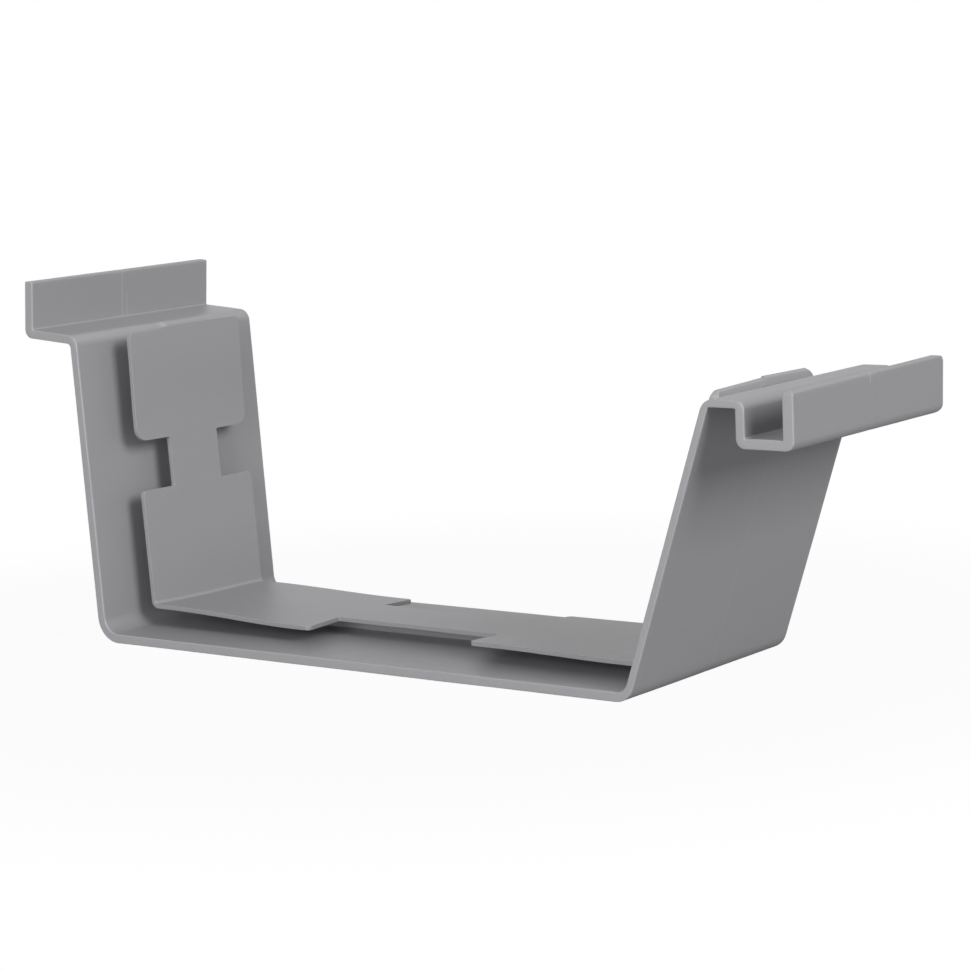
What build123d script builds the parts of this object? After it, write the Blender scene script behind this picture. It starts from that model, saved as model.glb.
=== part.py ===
"""Union for a box gutter: one moulding that joins two lengths of gutter end to end.

A shell with the gutter's own section holds a thinner plate off its inner face. Each gutter end
slides into the slot between the two and stops at a web halfway along.

Millimetres. X runs across the gutter from its rear edge to its front edge, Y along it and Z up.
The origin is in the middle of the floor's underside, halfway along.
"""

import os
from math import cos, radians, sin, tan

from build123d import *

# Shell: length along the gutter, and the thickness of its limbs
length = 57.4
wall = 2.0  # floor, rear wall and its ledge, leg and hook floor
front_wall = 1.6  # front wall and the ledge on top of it
lip = 2.3  # the two free edges: rear upstand and front strap

# Trough: the outside width of the floor is measured between the lines of the two walls
floor_width = 140.0
rear_lean = 3.2  # degrees out of the vertical
front_lean = 19.0
rear_corner = 3.6  # inside radius where the rear wall meets the floor
front_corner = 2.8

# Rear flange: a ledge and an upstand, turned in towards the trough as one
rear_ledge_height = 67.6
rear_ledge_reach = 13.6
upstand_rise = 10.5  # above the ledge
flange_tilt = 4.6  # degrees
ledge_bend = 2.7  # radius on top, where the ledge turns down into the wall

# Front edge: a narrow ledge, a leg down, and a hook that ends in an upright strap
front_ledge_height = 60.0
front_ledge_reach = 5.9  # from the wall's outer face to the leg, under the ledge
leg_drop = 9.1  # from the ledge's top to the underside of the hook
hook_width = 8.2  # clear width between leg and strap
strap_height = 11.5  # from the underside of the hook

# Bends of the flange and the front edge
outer_bend = 1.9
inner_bend = 0.3

# Plate: stands off the shell to make the slots
plate = 0.95
plate_length = 36.0
rear_slot = 4.2
floor_slot = 3.1
front_slot = 3.9
rear_plate_height = 67.1
front_plate_height = 60.2
plate_crease = 0.8  # inside radius of the plate's own corners
plate_corner = 1.2  # rounding of its free corners
web = 1.4

# Notches in both ends of each plate panel
notch_depth = 10.2  # from the end of the plate
rear_notch_centre = 37.2  # height
rear_notch_width = 11.1
floor_notch_centre = 2.5  # across, from the middle of the floor
floor_notch_width = 42.5
front_notch_centre = 33.0  # height
front_notch_width = 11.0
notch_shoulder = 2.8  # rounding above the notch in a wall panel
notch_root = 0.4  # rounding inside the notches


def rear_x(height, depth=0.0):
    """X on the line that lies depth inside the rear wall's outer face."""
    return -floor_width / 2 - height * tan(radians(rear_lean)) + depth / cos(radians(rear_lean))


def front_x(height, depth=0.0):
    """X on the line that lies depth inside the front wall's outer face."""
    return floor_width / 2 + height * tan(radians(front_lean)) - depth / cos(radians(front_lean))


def trough(rear_depth, floor_depth, front_depth, rear_top, front_top):
    """Corners of a U parallel to the shell: rear top, rear corner, front corner, front top."""
    return [
        (rear_x(rear_top, rear_depth), rear_top),
        (rear_x(floor_depth, rear_depth), floor_depth),
        (front_x(floor_depth, front_depth), floor_depth),
        (front_x(front_top, front_depth), front_top),
    ]


def flange(outward, up):
    """A point of the rear flange, from where the ledge's underside meets the wall."""
    root_height = rear_ledge_height - wall
    tilt = radians(flange_tilt)
    return (
        rear_x(root_height) - outward * cos(tilt) + up * sin(tilt),
        root_height + outward * sin(tilt) + up * cos(tilt),
    )


# Outer and inner outline of the shell, both from the upstand's top edge to the strap's
leg_x = front_x(front_ledge_height - front_wall) + front_ledge_reach
strap_x = leg_x + wall + hook_width + lip
hook_height = front_ledge_height - leg_drop
strap_top = hook_height + strap_height
ledge_root = wall * tan(radians(45 - (rear_lean + flange_tilt) / 2))

outside = [
    flange(rear_ledge_reach, wall + upstand_rise),
    flange(rear_ledge_reach, 0),
    *trough(0, 0, 0, rear_ledge_height - wall, front_ledge_height - front_wall),
    (leg_x, front_ledge_height - front_wall),
    (leg_x, hook_height),
    (strap_x, hook_height),
    (strap_x, strap_top),
]
outside_radii = [
    outer_bend,
    ledge_bend - wall + inner_bend,
    rear_corner + wall,
    front_corner + front_wall,
    inner_bend,
    inner_bend,
    outer_bend,
    outer_bend,
]
inside = [
    flange(rear_ledge_reach - lip, wall + upstand_rise),
    flange(rear_ledge_reach - lip, wall),
    flange(-ledge_root, wall),
    *trough(wall, wall, front_wall, rear_ledge_height, front_ledge_height)[1:],
    (leg_x + wall, front_ledge_height),
    (leg_x + wall, hook_height + wall),
    (strap_x - lip, hook_height + wall),
    (strap_x - lip, strap_top),
]
inside_radii = [
    inner_bend,
    ledge_bend,
    rear_corner,
    front_corner,
    outer_bend,
    outer_bend,
    inner_bend,
    inner_bend,
]

# Trough side of the plate
rear_face = wall + rear_slot + plate
floor_face = wall + floor_slot + plate
front_face = front_wall + front_slot + plate

# Each panel of the plate, seen from the trough with its own up direction: the plane lies on the
# panel's face, with the middle of the notches as its origin
rear_panel = Plane(
    origin=(rear_x(rear_notch_centre, rear_face), 0, rear_notch_centre),
    x_dir=(0, 1, 0),
    z_dir=(cos(radians(rear_lean)), 0, sin(radians(rear_lean))),
)
floor_panel = Plane(
    origin=(floor_notch_centre, 0, floor_face),
    x_dir=(0, 1, 0),
    z_dir=(0, 0, 1),
)
front_panel = Plane(
    origin=(front_x(front_notch_centre, front_face), 0, front_notch_centre),
    x_dir=(0, -1, 0),
    z_dir=(-cos(radians(front_lean)), 0, sin(radians(front_lean))),
)
rear_panel_top = (rear_plate_height - rear_notch_centre) / cos(radians(rear_lean))
front_panel_top = (front_plate_height - front_notch_centre) / cos(radians(front_lean))


def corner_edges(panel, along, up):
    """Edges through the plate at one height of a panel, at the same distance either side of the middle."""
    through = gutter_union.edges().filter_by(Axis(panel.origin, panel.z_dir))
    return through.filter_by(
        lambda edge: abs(abs(panel.to_local_coords(edge.center()).X) - along) < 0.01
        and abs(panel.to_local_coords(edge.center()).Y - up) < 0.01
    )


with BuildPart() as gutter_union:
    # Plate: a thin U, cut off square at both ends
    with BuildSketch(Plane.XZ):
        with BuildLine():
            FilletPolyline(
                *trough(rear_face, floor_face, front_face, rear_plate_height, front_plate_height),
                radius=plate_crease,
            )
            offset(amount=plate, side=Side.RIGHT)
        make_face()
    extrude(amount=plate_length / 2, both=True)

    # Notches from both ends of every panel leave each one the shape of an H
    for panel, width, shoulder in (
        (rear_panel, rear_notch_width, notch_shoulder),
        (floor_panel, floor_notch_width, plate_corner),
        (front_panel, front_notch_width, notch_shoulder),
    ):
        with BuildSketch(panel):
            with Locations((plate_length / 2, 0), (-plate_length / 2, 0)):
                Rectangle(2 * notch_depth, width)
        extrude(amount=2 * plate, both=True, mode=Mode.SUBTRACT)
        fillet(corner_edges(panel, plate_length / 2, width / 2), shoulder)
        fillet(corner_edges(panel, plate_length / 2, -width / 2), plate_corner)
        fillet(corner_edges(panel, plate_length / 2 - notch_depth, width / 2), notch_root)
        fillet(corner_edges(panel, plate_length / 2 - notch_depth, -width / 2), notch_root)
    fillet(corner_edges(rear_panel, plate_length / 2, rear_panel_top), plate_corner)
    fillet(corner_edges(front_panel, plate_length / 2, front_panel_top), plate_corner)

    # Web: fills the slots halfway along, from the middle of the shell's wall to that of the plate
    with BuildSketch(Plane.XZ):
        with BuildLine():
            web_outside = FilletPolyline(
                *trough(wall / 2, wall / 2, front_wall / 2, rear_plate_height, front_plate_height),
                radius=[rear_corner + wall / 2, front_corner + front_wall / 2],
            )
            web_inside = FilletPolyline(
                *trough(
                    rear_face - plate / 2,
                    floor_face - plate / 2,
                    front_face - plate / 2,
                    rear_plate_height,
                    front_plate_height,
                ),
                radius=plate_crease + plate / 2,
            )
            Line(web_outside @ 0, web_inside @ 0)
            Line(web_outside @ 1, web_inside @ 1)
        make_face()
    extrude(amount=web / 2, both=True)

    # Shell
    with BuildSketch(Plane.XZ):
        with BuildLine():
            outer_line = FilletPolyline(*outside, radius=outside_radii)
            inner_line = FilletPolyline(*inside, radius=inside_radii)
            Line(outer_line @ 0, inner_line @ 0)
            Line(outer_line @ 1, inner_line @ 1)
        make_face()
    extrude(amount=length / 2, both=True)

os.makedirs("parts", exist_ok=True)
gutter_union.part.label = "gutter_union"
export_step(gutter_union.part, "parts/gutter_union.step")
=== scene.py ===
"""Studio picture of a box gutter union: one grey plastic moulding that joins two gutter ends.

Metres, in the moulding's own frame: X across the gutter from rear to front, Y along it, Z up.
"""

from math import acos, ceil, cos, exp, pi, radians, sin, tan

import bmesh
import bpy
from mathutils import Matrix, Vector, geometry, noise


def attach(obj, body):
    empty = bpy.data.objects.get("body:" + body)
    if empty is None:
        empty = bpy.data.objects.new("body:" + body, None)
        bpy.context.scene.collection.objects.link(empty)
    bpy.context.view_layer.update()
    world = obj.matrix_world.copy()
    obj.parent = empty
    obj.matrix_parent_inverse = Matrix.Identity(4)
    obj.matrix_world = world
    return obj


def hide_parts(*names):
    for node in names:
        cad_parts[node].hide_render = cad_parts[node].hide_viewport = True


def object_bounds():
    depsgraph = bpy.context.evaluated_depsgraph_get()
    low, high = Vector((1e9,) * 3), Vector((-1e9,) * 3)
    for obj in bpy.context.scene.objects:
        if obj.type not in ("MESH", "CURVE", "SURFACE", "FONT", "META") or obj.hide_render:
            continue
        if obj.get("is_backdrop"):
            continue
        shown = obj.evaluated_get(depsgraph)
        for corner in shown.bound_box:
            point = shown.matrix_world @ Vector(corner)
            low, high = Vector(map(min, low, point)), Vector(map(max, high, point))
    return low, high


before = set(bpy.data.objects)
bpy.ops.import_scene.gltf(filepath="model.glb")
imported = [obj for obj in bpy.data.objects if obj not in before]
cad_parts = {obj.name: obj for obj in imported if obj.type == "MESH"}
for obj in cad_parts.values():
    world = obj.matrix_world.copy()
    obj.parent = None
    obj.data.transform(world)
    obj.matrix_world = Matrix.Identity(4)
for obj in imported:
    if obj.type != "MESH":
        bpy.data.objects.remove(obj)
cad_low, cad_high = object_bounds()


# Camera: a long lens near the floor, in front of the union's near end and to its right, tipped a
# little to one side. Its aim is a point of the moulding and the place in the picture, in pixels
# from the middle, where that point shows.
mm = 0.001
camera_azimuth = 36.914
camera_elevation = 8.596
camera_roll = -2.442
camera_distance = 0.62041
focal_pixels = 3035.87
picture_height = 971  # pixels
aim = Vector((0, -28.7 * mm, 42 * mm))
aim_right_of_centre = -148.16
aim_below_centre = -16.16


def direction(azimuth, elevation):
    """Unit vector out from the object: azimuth 0 is in front of its near end, 90 to its right."""
    a, e = radians(azimuth), radians(elevation)
    return Vector((sin(a) * cos(e), -cos(a) * cos(e), sin(e)))


back = direction(camera_azimuth, camera_elevation)
level_right = Vector((0, 0, 1)).cross(back).normalized()
level_up = back.cross(level_right)
turn = radians(camera_roll)
right = cos(turn) * level_right + sin(turn) * level_up
up = cos(turn) * level_up - sin(turn) * level_right
pixel = camera_distance / focal_pixels

lens = bpy.data.cameras.new("camera")
lens.sensor_width = 36
lens.lens = focal_pixels / picture_height * lens.sensor_width
lens.clip_start = 0.01
camera = bpy.data.objects.new("camera", lens)
bpy.context.collection.objects.link(camera)
camera.matrix_world = Matrix.Translation(
    aim - aim_right_of_centre * pixel * right + aim_below_centre * pixel * up + camera_distance * back
) @ Matrix((right, up, back)).transposed().to_4x4()
bpy.context.scene.camera = camera
bpy.context.scene.view_settings.view_transform = "Standard"


# Grey plastic: rigid PVC as it comes from the mould, satin, a little mottled by the way it
# flowed, with a fine orange peel, light scuffs, pale seam lines, and painted highlights on arrises.
class Field:
    """A value over a surface. Sums on it add Math nodes to its material."""

    def __init__(self, tree, socket=None):
        self.tree = tree
        self.socket = socket

    def node(self, kind, settings=None, inputs=None):
        """Adds a node and returns it with its sockets wrapped: settings first, then inputs."""
        made = self.tree.nodes.new("ShaderNode" + kind)
        for name, value in (settings or {}).items():
            setattr(made, name, value)
        for name, value in (inputs or {}).items():
            if isinstance(value, Field):
                self.tree.links.new(value.socket, made.inputs[name])
            else:
                made.inputs[name].default_value = value
        return made

    def out(self, kind, output, settings=None, inputs=None):
        """One output of a new node."""
        return Field(self.tree, self.node(kind, settings, inputs).outputs[output])

    def math(self, operation, *values, clamp=False):
        """A Math node on these values, which may be numbers or Fields."""
        settings = {"operation": operation, "use_clamp": clamp}
        return self.out("Math", 0, settings, dict(enumerate(values)))

    def __add__(self, other):
        return self.math("ADD", self, other)

    def __sub__(self, other):
        return self.math("SUBTRACT", self, other)

    def __mul__(self, other):
        return self.math("MULTIPLY", self, other)

    def __rsub__(self, other):
        return self.math("SUBTRACT", other, self)

    __radd__ = __add__
    __rmul__ = __mul__

    def step(self, low, high):
        """0 below low, 1 above high, and smooth between them."""
        settings = {"interpolation_type": "SMOOTHSTEP"}
        return self.out("MapRange", 0, settings, {"Value": self, "From Min": low, "From Max": high})


deep_grey = (0.160, 0.160, 0.1675, 1)
pale_grey = (0.400, 0.400, 0.418, 1)


def grey_pvc():
    """The moulding's one finish. Reads the vertex attribute of painted highlights, painted light and seam
    lines: how much paler it is painted, 1 on its arrises.
    """
    made = bpy.data.materials.new("grey_pvc")
    made.use_nodes = True
    made.node_tree.nodes.clear()
    surface = Field(made.node_tree)
    place = surface.out("TexCoord", "Object")

    def cloud(size, detail, roughness=0.5, stretch=(1, 1, 1)):
        """Soft noise from 0 to 1, with patches of about that size."""
        grain = surface.out("Mapping", 0, inputs={"Vector": place, "Scale": [s / size for s in stretch]})
        inputs = {"Vector": grain, "Scale": 1.0, "Detail": detail, "Roughness": roughness}
        return surface.out("TexNoise", 0, inputs=inputs)

    painted_light_and_seams = surface.out("Attribute", "Fac", {"attribute_name": "painted_light_and_seams"})
    flow = cloud(26 * mm, 3, stretch=(1, 0.45, 1))
    mottle = cloud(2.2 * mm, 4, 0.6)
    speck = cloud(0.35 * mm, 2)
    scuff = cloud(5 * mm, 5, 0.7, stretch=(1, 0.12, 3)).step(0.62, 0.78)

    paler = 0.5 + 0.06 * (flow - 0.5) + 0.05 * (mottle - 0.5) + 0.04 * (speck - 0.5) + 0.015 * scuff
    # Painted highlights and painted light, and the pale seam lines, from the vertex attribute
    paler = surface.math("ADD", paler, 0.28 * painted_light_and_seams, clamp=True)
    greys = {"Factor": paler, 6: deep_grey, 7: pale_grey}
    shade = surface.out("Mix", 2, {"data_type": "RGBA"}, greys)
    roughness = 0.43 + 0.1 * (mottle - 0.5) + 0.08 * (flow - 0.5) - 0.06 * scuff
    peel = cloud(0.55 * mm, 2) + 0.5 * speck
    relief = surface.out("Bump", 0, inputs={"Strength": 0.12, "Distance": 0.05 * mm, "Height": peel})
    plastic = surface.out(
        "BsdfPrincipled",
        0,
        inputs={"Base Color": shade, "Roughness": roughness, "Normal": relief, "IOR": 1.5},
    )
    surface.node("OutputMaterial", inputs={"Surface": plastic})
    return made


pvc = grey_pvc()


# Shell: the outer part of the moulding, in grey PVC, with the section of the gutter it joins: rear
# upstand and ledge, rear wall, floor, front wall, front ledge, and the hook that takes the gutter's
# front bead. The mould's halves met halfway along, and that leaves light lines.
length = cad_high.y - cad_low.y
wall = 2.0 * mm
front_wall = 1.6 * mm
lip = 2.3 * mm
floor_width = 140.0 * mm
rear_lean = radians(3.2)
front_lean = radians(19.0)
rear_corner = 3.6 * mm
front_corner = 2.8 * mm
rear_ledge_height = 67.6 * mm
rear_ledge_reach = 13.6 * mm
upstand_rise = 10.5 * mm
flange_tilt = radians(4.6)
ledge_bend = 2.7 * mm
front_ledge_height = 60.0 * mm
front_ledge_reach = 5.9 * mm
leg_drop = 9.1 * mm
hook_width = 8.2 * mm
strap_height = 11.5 * mm
outer_bend = 1.9 * mm
inner_bend = 0.3 * mm
front_ledge_bend = 3.2 * mm


def rear_x(height, depth=0.0):
    """X on the line that lies depth inside the rear wall's outer face."""
    return -floor_width / 2 - height * tan(rear_lean) + depth / cos(rear_lean)


def front_x(height, depth=0.0):
    """X on the line that lies depth inside the front wall's outer face."""
    return floor_width / 2 + height * tan(front_lean) - depth / cos(front_lean)


def trough(rear_depth, floor_depth, front_depth, rear_top, front_top):
    """Corners of a U parallel to the shell: rear top, rear corner, front corner, front top."""
    return [
        Vector((rear_x(rear_top, rear_depth), rear_top)),
        Vector((rear_x(floor_depth, rear_depth), floor_depth)),
        Vector((front_x(floor_depth, front_depth), floor_depth)),
        Vector((front_x(front_top, front_depth), front_top)),
    ]


def flange(outward, rise):
    """A point of the rear flange, from where the ledge's underside meets the wall."""
    root_height = rear_ledge_height - wall
    return Vector((
        rear_x(root_height) - outward * cos(flange_tilt) + rise * sin(flange_tilt),
        root_height + outward * sin(flange_tilt) + rise * cos(flange_tilt),
    ))


def rounded(corners, radii, run=1.2 * mm, turn_step=radians(9)):
    """Points along a line whose inner corners are rounded, with its runs divided."""
    points = [corners[0]]
    for before, corner, after, radius in zip(corners, corners[1:], corners[2:], radii):
        into, out_of = (corner - before).normalized(), (after - corner).normalized()
        bend = acos(max(-1, min(1, into.dot(out_of))))
        side = 1 if into.cross(out_of) > 0 else -1
        start = corner - into * radius * tan(bend / 2)
        centre = start + side * radius * Vector((-into.y, into.x))
        steps = max(2, ceil(bend / turn_step))
        for i in range(steps + 1):
            points.append(centre + Matrix.Rotation(side * bend * i / steps, 2) @ (start - centre))
    points.append(corners[-1])
    divided = [points[0]]
    for a, b in zip(points, points[1:]):
        parts = max(1, ceil((b - a).length / run))
        divided += [a.lerp(b, i / parts) for i in range(1, parts + 1)]
    return divided


leg_x = front_x(front_ledge_height - front_wall) + front_ledge_reach
strap_x = leg_x + wall + hook_width + lip
hook_height = front_ledge_height - leg_drop
strap_top = hook_height + strap_height
ledge_root = wall * tan(pi / 4 - (rear_lean + flange_tilt) / 2)

outside = rounded(
    [
        flange(rear_ledge_reach, wall + upstand_rise),
        flange(rear_ledge_reach, 0),
        *trough(0, 0, 0, rear_ledge_height - wall, front_ledge_height - front_wall),
        Vector((leg_x, front_ledge_height - front_wall)),
        Vector((leg_x, hook_height)),
        Vector((strap_x, hook_height)),
        Vector((strap_x, strap_top)),
    ],
    [
        outer_bend,
        ledge_bend - wall + inner_bend,
        rear_corner + wall,
        front_corner + front_wall,
        inner_bend,
        inner_bend,
        outer_bend,
        outer_bend,
    ],
)
inside = rounded(
    [
        flange(rear_ledge_reach - lip, wall + upstand_rise),
        flange(rear_ledge_reach - lip, wall),
        flange(-ledge_root, wall),
        *trough(wall, wall, front_wall, rear_ledge_height, front_ledge_height)[1:],
        Vector((leg_x + wall, front_ledge_height)),
        Vector((leg_x + wall, hook_height + wall)),
        Vector((strap_x - lip, hook_height + wall)),
        Vector((strap_x - lip, strap_top)),
    ],
    [
        inner_bend,
        ledge_bend,
        rear_corner,
        front_corner,
        front_ledge_bend,
        outer_bend,
        inner_bend,
        inner_bend,
    ],
)


def eased(loop, radius, steps=3):
    """A closed outline with its sharp corners eased. Gentle turns stay as they are."""
    made = []
    for i, corner in enumerate(loop):
        before, after = loop[i - 1], loop[(i + 1) % len(loop)]
        into, out_of = (corner - before).normalized(), (after - corner).normalized()
        bend = acos(max(-1, min(1, into.dot(out_of))))
        if bend < radians(40):
            made.append(corner)
            continue
        reach = radius * tan(bend / 2)
        a, b = corner - into * reach, corner + out_of * reach
        for k in range(steps + 1):
            t = k / steps
            made.append(a.lerp(corner, t).lerp(corner.lerp(b, t), t))
    return made


def piece(name, mesh):
    """Turns a mesh into a shown piece of the moulding."""
    made = bpy.data.objects.new(name, mesh)
    bpy.context.collection.objects.link(made)
    mesh.materials.append(pvc)
    for face in mesh.polygons:
        face.use_smooth = True
    even = made.modifiers.new("even_shading", "WEIGHTED_NORMAL")
    even.mode = "FACE_AREA"
    even.weight = 100
    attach(made, "root")
    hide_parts("gutter_union")


def paint_light_and_seams(mesh, values):
    """Stores at each vertex how much paler it is painted, for the finish: painted highlights and painted
    light, and pale seam lines.
    """
    painted_light_and_seams = mesh.attributes.new("painted_light_and_seams", "FLOAT", "POINT")
    painted_light_and_seams.data.foreach_set("value", values)


def close(mesh, ring):
    """Fills the flat end that a ring of vertices goes round."""
    flat = [Vector((v.co.x, v.co.z)) for v in ring]
    sides = [(i, (i + 1) % len(flat)) for i in range(len(flat))]
    for face in geometry.delaunay_2d_cdt(flat, sides, [], 1, 1e-9)[2]:
        mesh.faces.new([ring[i] for i in face])


def unevenness(point):
    """How far a moulded face stands proud of true there, from shrinkage as it cools."""
    return 0.05 * mm * noise.noise(point / (22 * mm)) + 0.012 * mm * noise.noise(point / (5 * mm))


half = length / 2
arris_radius = 0.4 * mm  # along the moulding
edge_radius = 0.25 * mm  # round its two ends
edge_steps = 4
line_width = 0.17 * mm  # of the parting line
second_line_y = 1.6 * mm  # where the upstand has a second, shorter one
second_line_top = 74 * mm
upstand_foot_x = -85 * mm
ledge_painted_light = 0.4  # painted light: the whole rear ledge and its bend are painted a little paler
web_highlight_width = 1.4 * mm  # of the painted highlight over the web, on the ledge's bend
sink_y = 1.2 * mm  # middle of the shallow sink that the web leaves in the shell
sink_depth = 0.03 * mm
sink_width = 1.3 * mm
strap_corner = 1.4 * mm  # rounding of its far corners
strap_sag = 0.3 * mm  # at the middle of its top, and twice that at the near end
strap_stretch = 0.6 * mm  # how far its top passes the shell's far end


def shell_light_and_seams(x, y, z):
    """How much paler the shell is painted there, as painted highlights and light and as seam lines: 1 as on
    an arris, more for the brightest.
    """
    line = exp(-((y / line_width) ** 2))
    if z > rear_ledge_height - 1.6 * mm and rear_x(z) + 0.3 * mm < x < 0:
        # The bend from the rear ledge into the wall: painted light, and a painted highlight over the web
        return max(ledge_painted_light, 1.6 * exp(-((y / web_highlight_width) ** 2)))
    if rear_ledge_height - 0.7 * mm < z < rear_ledge_height + 1.1 * mm and upstand_foot_x < x < 0:
        # The top of the rear ledge: painted light
        return ledge_painted_light
    if z > rear_ledge_height and x < rear_x(z):
        # The upstand
        second = exp(-(((y - second_line_y) / line_width) ** 2)) if z < second_line_top else 0.0
        return 0.9 * line + 0.7 * second
    if x > strap_x - 0.5 * mm:
        # The outer face of the strap, and its top
        return 1.6 * line if z > strap_top - 1.3 * mm else 0.05 * line
    if z > front_ledge_height - 0.5 * mm:
        # The front ledge's top
        return 0.5 * line
    return 0.25 * line


def progress(value, low, high):
    """How far a value has come from low to high, from 0 to 1."""
    return min(1, max(0, (value - low) / (high - low)))


def strap_bend(spot):
    """Where a point of the true shell really lies: the strap is askew and its far corners round."""
    if spot.x < strap_x - lip - 0.1 * mm:
        return spot
    down = min(strap_top - spot.z, spot.z - hook_height)
    if down < strap_corner:
        cut = strap_corner - (strap_corner**2 - (strap_corner - max(0, down)) ** 2) ** 0.5
        spot.y -= cut * progress(spot.y, half - 2 * mm, half)
    rise = (spot.z - hook_height) / strap_height
    spot.z += rise * (spot.y / half - 1) * strap_sag
    spot.y += rise * max(0, spot.y / half) ** 2 * strap_stretch
    return spot


outline = eased(outside + inside[::-1], arris_radius)
count = len(outline)
normals = []
for i, point in enumerate(outline):
    tangent = (outline[(i + 1) % count] - outline[i - 1]).normalized()
    normals.append(Vector((tangent.y, -tangent.x)))
area = sum(a.cross(b) for a, b in zip(outline, outline[1:] + outline[:1]))
if area < 0:
    normals = [-n for n in normals]

# Rings of the outline along the gutter, as (distance from the middle, inset): crowded at the ends,
# which are eased, and at the middle, where the mould's halves met
one_half = []
for i in range(edge_steps, -1, -1):
    angle = pi / 2 * i / edge_steps
    one_half.append((half - edge_radius * (1 - sin(angle)), edge_radius * (1 - cos(angle))))
wide_apart = (28, 27, 25.5, 24, 21, 18, 15, 12, 9, 7, 5, 4, 3)
by_the_lines = (2.4, 2.0, 1.8, 1.7, 1.6, 1.5, 1.4, 1.2, 1, 0.7, 0.4, 0.2, 0.1)
for y in wide_apart + by_the_lines:
    one_half.append((y * mm, 0.0))
rings = [(-y, inset) for y, inset in one_half] + [(0.0, 0.0)] + one_half[::-1]

body = bmesh.new()
grid = []
painted_light_and_seams = []
for y, inset in rings:
    ring = []
    for point, normal in zip(outline, normals):
        proud = unevenness(Vector((point.x, y, point.y)))
        proud -= sink_depth * exp(-(((y - sink_y) / sink_width) ** 2))
        spot = point + normal * (proud - inset)
        ring.append(body.verts.new(strap_bend(Vector((spot.x, y, spot.y)))))
        # Painted highlight along the eased arrises of both ends
        end_highlight = max(0.0, 1 - abs(half - abs(y) - 0.3 * edge_radius) / (1.2 * edge_radius))
        painted_light_and_seams.append(max(end_highlight, shell_light_and_seams(spot.x, y, spot.y)))
    grid.append(ring)
for ring, following in zip(grid, grid[1:]):
    for i in range(count):
        j = (i + 1) % count
        body.faces.new((ring[i], ring[j], following[j], following[i]))
for ring in (grid[0], grid[-1]):
    close(body, ring)
bmesh.ops.recalc_face_normals(body, faces=body.faces)
shell_mesh = bpy.data.meshes.new("shell")
body.to_mesh(shell_mesh)
body.free()
paint_light_and_seams(shell_mesh, painted_light_and_seams)
piece("shell", shell_mesh)


# Plate: a thin U that stands off the shell, moulded in one with it, with a notch in both ends of
# each of its three panels. Its mesh is made flat, as a strip with its notches, and then folded
# along the line of the trough.
plate = 0.95 * mm
plate_length = 36.0 * mm
rear_slot = 4.2 * mm
floor_slot = 3.1 * mm
front_slot = 3.9 * mm
rear_plate_height = 67.1 * mm
front_plate_height = 60.2 * mm
plate_crease = 0.8 * mm
plate_corner = 1.2 * mm
notch_depth = 10.2 * mm
rear_notch_centre = 37.2 * mm
rear_notch_width = 11.1 * mm
floor_notch_centre = 2.5 * mm
floor_notch_width = 42.5 * mm
front_notch_centre = 33.0 * mm
front_notch_width = 11.0 * mm
notch_shoulder = 2.8 * mm
notch_root = 0.4 * mm
front_top_corner = 1.6 * mm

rear_face = wall + rear_slot + plate
floor_face = wall + floor_slot + plate
front_face = front_wall + front_slot + plate
fold_line = trough(rear_face, floor_face, front_face, rear_plate_height, front_plate_height)
fold_angles = (pi / 2 - rear_lean, pi / 2 - front_lean)
fold_reach = [plate_crease * tan(angle / 2) for angle in fold_angles]
fold_arc = [plate_crease * angle for angle in fold_angles]

# Lengths along the flat strip: each panel's flat part and the arcs between them
panel_runs = [
    (fold_line[1] - fold_line[0]).length - fold_reach[0],
    (fold_line[2] - fold_line[1]).length - fold_reach[0] - fold_reach[1],
    (fold_line[3] - fold_line[2]).length - fold_reach[1],
]
marks = [0.0]
for stretch in (panel_runs[0], fold_arc[0], panel_runs[1], fold_arc[1], panel_runs[2]):
    marks.append(marks[-1] + stretch)


def folded(along, y, depth):
    """Where a point of the flat strip goes: depth is measured from its trough side."""
    stage = 0
    while stage < 4 and along > marks[stage + 1]:
        stage += 1
    run = along - marks[stage]
    panel, bent = divmod(stage, 2)
    way = (fold_line[panel + 1] - fold_line[panel]).normalized()
    outward = Vector((way.y, -way.x))
    start = fold_line[panel] + (way * fold_reach[panel - 1] if panel else Vector((0, 0)))
    if not bent:
        spot = start + way * run + outward * depth
        return Vector((spot.x, y, spot.y))
    corner = fold_line[panel + 1] - way * fold_reach[panel]
    centre = corner - outward * plate_crease
    spot = centre + Matrix.Rotation(run / plate_crease, 2) @ (outward * (plate_crease + depth))
    return Vector((spot.x, y, spot.y))


rear_notch = (rear_plate_height - rear_notch_centre) / cos(rear_lean)
floor_notch = marks[2] + floor_notch_centre - fold_line[1].x - fold_reach[0]
front_notch = marks[5] - (front_plate_height - front_notch_centre) / cos(front_lean)


def notch(centre, width, shoulder_before, shoulder_after):
    """Corners of one notch in the strip's edge, as (along, in from the edge, rounding)."""
    return [
        (centre - width / 2, 0, shoulder_before),
        (centre - width / 2, notch_depth, notch_root),
        (centre + width / 2, notch_depth, notch_root),
        (centre + width / 2, 0, shoulder_after),
    ]


edge_corners = [
    (0, 0, plate_corner),
    *notch(rear_notch, rear_notch_width, notch_shoulder, plate_corner),
    *notch(floor_notch, floor_notch_width, plate_corner, plate_corner),
    *notch(front_notch, front_notch_width, plate_corner, notch_shoulder),
    (marks[5], 0, front_top_corner),
]
near_edge = [(Vector((a, i - plate_length / 2)), r) for a, i, r in edge_corners]
far_edge = [(Vector((a, plate_length / 2 - i)), r) for a, i, r in reversed(edge_corners)]
strip_corners = near_edge + far_edge
closed = [strip_corners[-1], *strip_corners, strip_corners[0]]
strip_radii = [r for c, r in closed[1:-1]]
strip = rounded([c for c, r in closed], strip_radii, run=marks[5], turn_step=radians(12))[1:-1]

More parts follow.
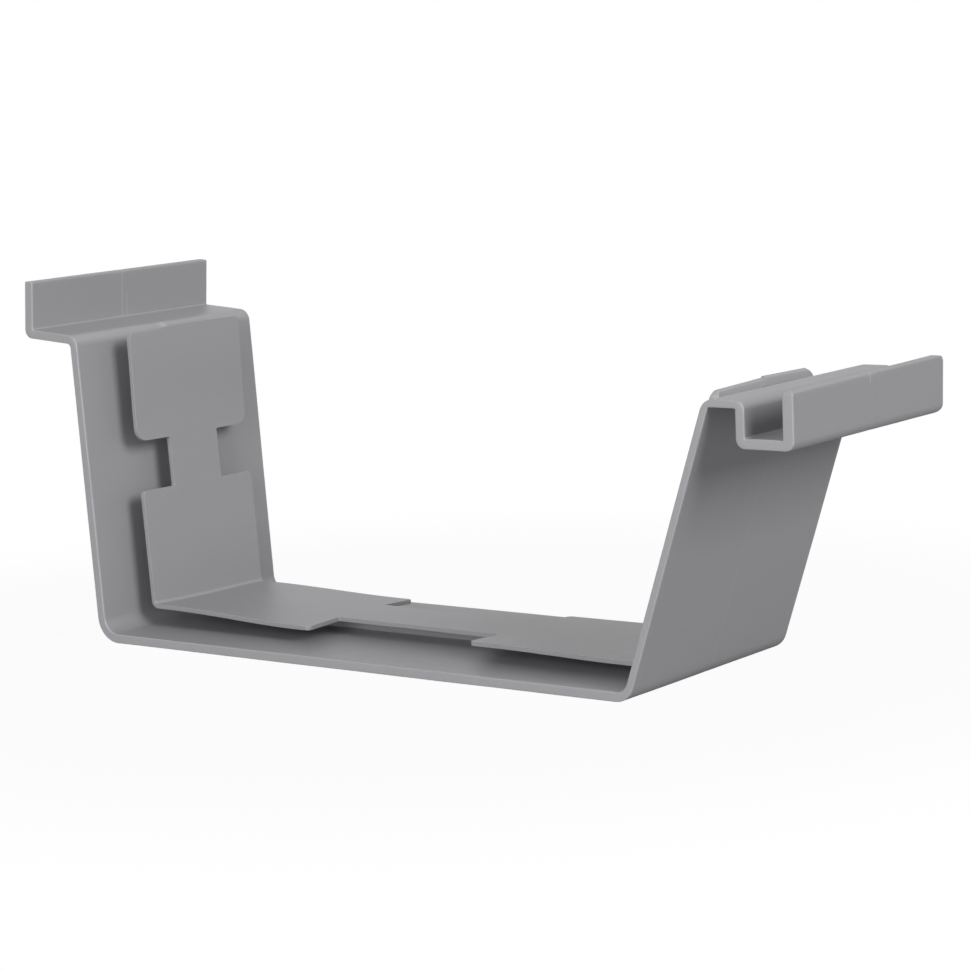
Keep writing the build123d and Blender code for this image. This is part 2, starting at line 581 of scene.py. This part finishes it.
# How much thicker the front panel's rim is on its slot side, by distance down from its top
front_rim = [
    (0, 0),
    (0.5 * mm, 0.6 * mm),
    (1.1 * mm, 1.0 * mm),
    (1.8 * mm, 1.2 * mm),
    (2.6 * mm, 0.7 * mm),
    (3.6 * mm, 0),
]

# Crosswise and lengthwise cuts let the strip bend. Next to a notch's side there is none, so that
# the rounding of its edges has room.
cut_step = 2.4 * mm
clear_of_edges = 1.1 * mm
fold_cuts = 8
blank = bmesh.new()
blank.faces.new([blank.verts.new((p.x, p.y, 0)) for p in strip])
stops = [0, marks[5]]
for centre, width in (
    (rear_notch, rear_notch_width),
    (floor_notch, floor_notch_width),
    (front_notch, front_notch_width),
):
    stops += [centre - width / 2, centre + width / 2]
crosswise = [i * cut_step for i in range(1, int(marks[5] / cut_step) + 1)]
crosswise = [c for c in crosswise if all(abs(c - stop) > clear_of_edges for stop in stops)]
for low, high in ((marks[1], marks[2]), (marks[3], marks[4])):
    crosswise += [low + (high - low) * i / fold_cuts for i in range(fold_cuts + 1)]
crosswise += [marks[5] - down for down, swell in front_rim[3:]]
lengthwise = [i * mm for i in (-16.6, -14.2, -12, -9.6, -6, -3, 0, 0.3, 3, 6, 9.6, 12, 14.2, 16.6)]
cuts = [(Vector((c, 0, 0)), Vector((1, 0, 0))) for c in crosswise]
cuts += [(Vector((0, c, 0)), Vector((0, 1, 0))) for c in lengthwise]
for place, facing in cuts:
    everything = blank.verts[:] + blank.edges[:] + blank.faces[:]
    bmesh.ops.bisect_plane(blank, geom=everything, dist=1e-7, plane_co=place, plane_no=facing)
bmesh.ops.remove_doubles(blank, verts=blank.verts, dist=0.002 * mm)
flat_faces = blank.faces[:]
bmesh.ops.solidify(blank, geom=flat_faces, thickness=plate)
bmesh.ops.recalc_face_normals(blank, faces=blank.faces)
slot_edge = 0.66 * mm
trough_edge = 0.17 * mm
for above, radius in ((True, slot_edge), (False, trough_edge)):
    middle_depth = (min(v.co.z for v in blank.verts) + max(v.co.z for v in blank.verts)) / 2
    sharp = [
        edge
        for edge in blank.edges
        if edge.is_manifold
        and edge.calc_face_angle() > radians(60)
        and all((v.co.z > middle_depth) == above for v in edge.verts)
    ]
    bmesh.ops.bevel(
        blank, geom=sharp, offset=radius, segments=5, profile=0.5, affect="EDGES", clamp_overlap=True
    )
blank.normal_update()
lowest = min(v.co.z for v in blank.verts)
skin = 0.2 * mm  # the trough side's rounding lies within this depth
near_end = 0.7 * mm - plate_length / 2

# Painted highlights: palest on the near end of the front panel's top, pale along that top and on the trough
# side's edges
painted_light_and_seams = []
for vertex in blank.verts:
    down = marks[5] - vertex.co.x
    flatness = vertex.normal.z**2
    if vertex.co.z < lowest + skin:
        painted_light_and_seams.append(5.5 * flatness * (1 - flatness))
    elif down < 2 * mm:
        painted_light_and_seams.append(1.7 if vertex.co.y < near_end else 0.9)
    else:
        painted_light_and_seams.append(0.0)


def between(table, at):
    """Value at a place along a table of (place, value), eased from one row to the next."""
    if at <= table[0][0]:
        return table[0][1]
    for (a, low), (b, high) in zip(table, table[1:]):
        if at <= b:
            t = (at - a) / (b - a)
            return low + (high - low) * t * t * (3 - 2 * t)
    return table[-1][1]


# How far the plate has sprung out of true since it left the mould. By place across the gutter, the
# floor panel's lift at its near edge, at the web and at its far edge. By height, the share of that
# lift left in the walls and the rear panel's bow. By place along the gutter, the rear top's lift.
near_lift = [(-60 * mm, 0.95 * mm), (-21 * mm, -0.38 * mm), (30 * mm, 0.22 * mm), (61 * mm, -0.34 * mm)]
web_lift = [
    (-60 * mm, 0.3 * mm),
    (-25 * mm, 0.0),
    (0, -0.15 * mm),
    (22 * mm, -0.45 * mm),
    (61 * mm, -0.2 * mm),
]
far_lift = [(-60 * mm, 0.05 * mm), (-21 * mm, -0.87 * mm), (22 * mm, -1.15 * mm), (61 * mm, -1.0 * mm)]
lift_left = [(6 * mm, 1.0), (37 * mm, 0.5), (67 * mm, -0.3)]
rear_bow = [(8 * mm, 0.29 * mm), (46 * mm, 0.13 * mm), (65 * mm, 0.65 * mm)]
rear_top_lift = [(-14 * mm, 0.0), (0, 0.5 * mm), (18 * mm, 0.35 * mm)]
front_top_shift = 0.5 * mm  # along the gutter


def sprung(spot):
    """Where a point of the true plate really lies."""
    centre = between(web_lift, spot.x)
    edge = between(near_lift if spot.y < 0 else far_lift, spot.x)
    lift = centre + (edge - centre) * abs(2 * spot.y / plate_length) ** 1.5
    lift *= between(lift_left, spot.z)
    across = 0.0
    if spot.x < 0:
        across = between(rear_bow, spot.z) * progress(-spot.x, 56 * mm, 60 * mm)
        lift += between(rear_top_lift, spot.y) * progress(spot.z, 60 * mm, 66 * mm)
    else:
        # The front panel's top stands higher on the far side of the web, with a step at the web
        top = progress(spot.z, 50 * mm, 60 * mm)
        raised = 0.45 * mm - 0.015 * spot.y if spot.y > 0.1 * mm else 0.15 * mm + 0.024 * spot.y
        lift = lift * (1 - top) + raised * top
        spot.y += top * front_top_shift
    return spot + Vector((across, 0, lift))


for vertex in blank.verts:
    along, y, depth = vertex.co.x, vertex.co.y, vertex.co.z - lowest
    if depth > skin:
        # The front panel's rim: its rounding drawn out down the slot side, then thickened
        down = marks[5] - along
        down = max(down, min(1.9 * down, 0.8 * down + 0.73 * mm))
        along = marks[5] - down
        depth += between(front_rim, down) * (depth - skin) / (plate - skin)
    vertex.co = sprung(folded(along, y, depth))
bmesh.ops.recalc_face_normals(blank, faces=blank.faces)
plate_mesh = bpy.data.meshes.new("plate")
blank.to_mesh(plate_mesh)
blank.free()
paint_light_and_seams(plate_mesh, painted_light_and_seams)
piece("plate", plate_mesh)


# Web: the thin rib halfway along that carries the plate and stops both gutter ends. It is moulded
# in one with shell and plate, so its mesh reaches to the middle of the wall of each.
web = 1.4 * mm
rear_web_top = rear_plate_height - 0.9 * mm
front_web_top = front_plate_height - 1.4 * mm
web_outside = rounded(
    trough(wall / 2, wall / 2, front_wall / 2, rear_web_top, front_web_top),
    [rear_corner + wall / 2, front_corner + front_wall / 2],
)
web_inside = rounded(
    trough(
        rear_face - plate / 2,
        floor_face - 0.6 * plate,
        front_face - plate / 2,
        rear_web_top,
        front_web_top,
    ),
    [plate_crease + plate / 2] * 2,
)
rib = bmesh.new()
rim = eased(web_outside + web_inside[::-1], 0.15 * mm)
near = [rib.verts.new((p.x, -web / 2, p.y)) for p in rim]
far = [rib.verts.new((p.x, web / 2, p.y)) for p in rim]
rib.faces.new(near)
rib.faces.new(far)
for i in range(len(rim)):
    j = (i + 1) % len(rim)
    rib.faces.new((near[i], near[j], far[j], far[i]))
bmesh.ops.triangulate(rib, faces=[f for f in rib.faces if len(f.verts) > 4])
bmesh.ops.recalc_face_normals(rib, faces=rib.faces)
web_mesh = bpy.data.meshes.new("web")
rib.to_mesh(web_mesh)
rib.free()
paint_light_and_seams(web_mesh, [0.0] * len(web_mesh.vertices))
piece("web", web_mesh)


# Studio: a white paper floor that keeps a faint shadow, a surround that is white where it is seen
# or reflected and dim as a light, and large soft lamps.
def studio_white():
    """Matt white paper. To the camera it is mostly its own light, so it shows white."""
    made = bpy.data.materials.new("studio_white")
    made.use_nodes = True
    made.node_tree.nodes.clear()
    surface = Field(made.node_tree)
    rays = surface.node("LightPath")
    seen = Field(surface.tree, rays.outputs["Is Camera Ray"])
    paper = surface.out("BsdfDiffuse", 0, inputs={"Color": (0.5, 0.5, 0.5, 1)})
    glow = surface.out("Emission", 0, inputs={"Color": (1, 1, 1, 1), "Strength": 1.0})
    place = surface.out("TexCoord", "Object")
    away = surface.out("VectorMath", "Value", {"operation": "LENGTH"}, {0: place})
    shadow_fades = away.step(0.1, 0.2)
    shown = surface.out("MixShader", 0, inputs={0: seen * (0.95 + 0.05 * shadow_fades), 1: paper, 2: glow})
    surface.node("OutputMaterial", inputs={"Surface": shown})
    return made


floor_reach = 3.0
floor_mesh = bpy.data.meshes.new("studio_floor")
corner_signs = ((-1, -1), (1, -1), (1, 1), (-1, 1))
floor_mesh.from_pydata([(x * floor_reach, y * floor_reach, 0) for x, y in corner_signs], [], [(0, 1, 2, 3)])
floor_mesh.materials.append(studio_white())
studio_floor = bpy.data.objects.new("studio_floor", floor_mesh)
bpy.context.collection.objects.link(studio_floor)
floor_gap = 0.02 * mm
studio_floor.location.z = cad_low.z - floor_gap
studio_floor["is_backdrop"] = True

surround_level = 0.14
surround = bpy.data.worlds.new("surround")
bpy.context.scene.world = surround
surround.use_nodes = True
surround.node_tree.nodes.clear()
air = Field(surround.node_tree)
air_rays = air.node("LightPath")
to_camera = Field(air.tree, air_rays.outputs["Is Camera Ray"])
to_gloss = Field(air.tree, air_rays.outputs["Is Glossy Ray"])
level = surround_level + (1 - surround_level) * (to_camera + to_gloss)
dome = air.out("Background", 0, inputs={"Color": (1, 1, 1, 1), "Strength": level})
air.node("OutputWorld", inputs={"Surface": dome})

middle = (cad_low + cad_high) / 2
# Name, azimuth and elevation in degrees, distance and width in metres, watts
lamps = [
    ("front", 8, 12, 0.9, 0.5, 5.65),
    ("right", 84, 27, 2.5, 1.1, 41.0),
    ("over", 50, 60, 2.5, 1.1, 3.5),
    ("behind", 170, 62, 2.5, 1.5, 5.0),
]
for name, azimuth, elevation, distance, size, watts in lamps:
    bulb = bpy.data.lights.new(name, "AREA")
    bulb.shape = "SQUARE"
    bulb.size = size
    bulb.energy = watts
    lamp = bpy.data.objects.new(name, bulb)
    bpy.context.collection.objects.link(lamp)
    out = direction(azimuth, elevation)
    lamp.location = middle + out * distance
    lamp.rotation_euler = out.to_track_quat("Z", "Y").to_euler()

low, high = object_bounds()
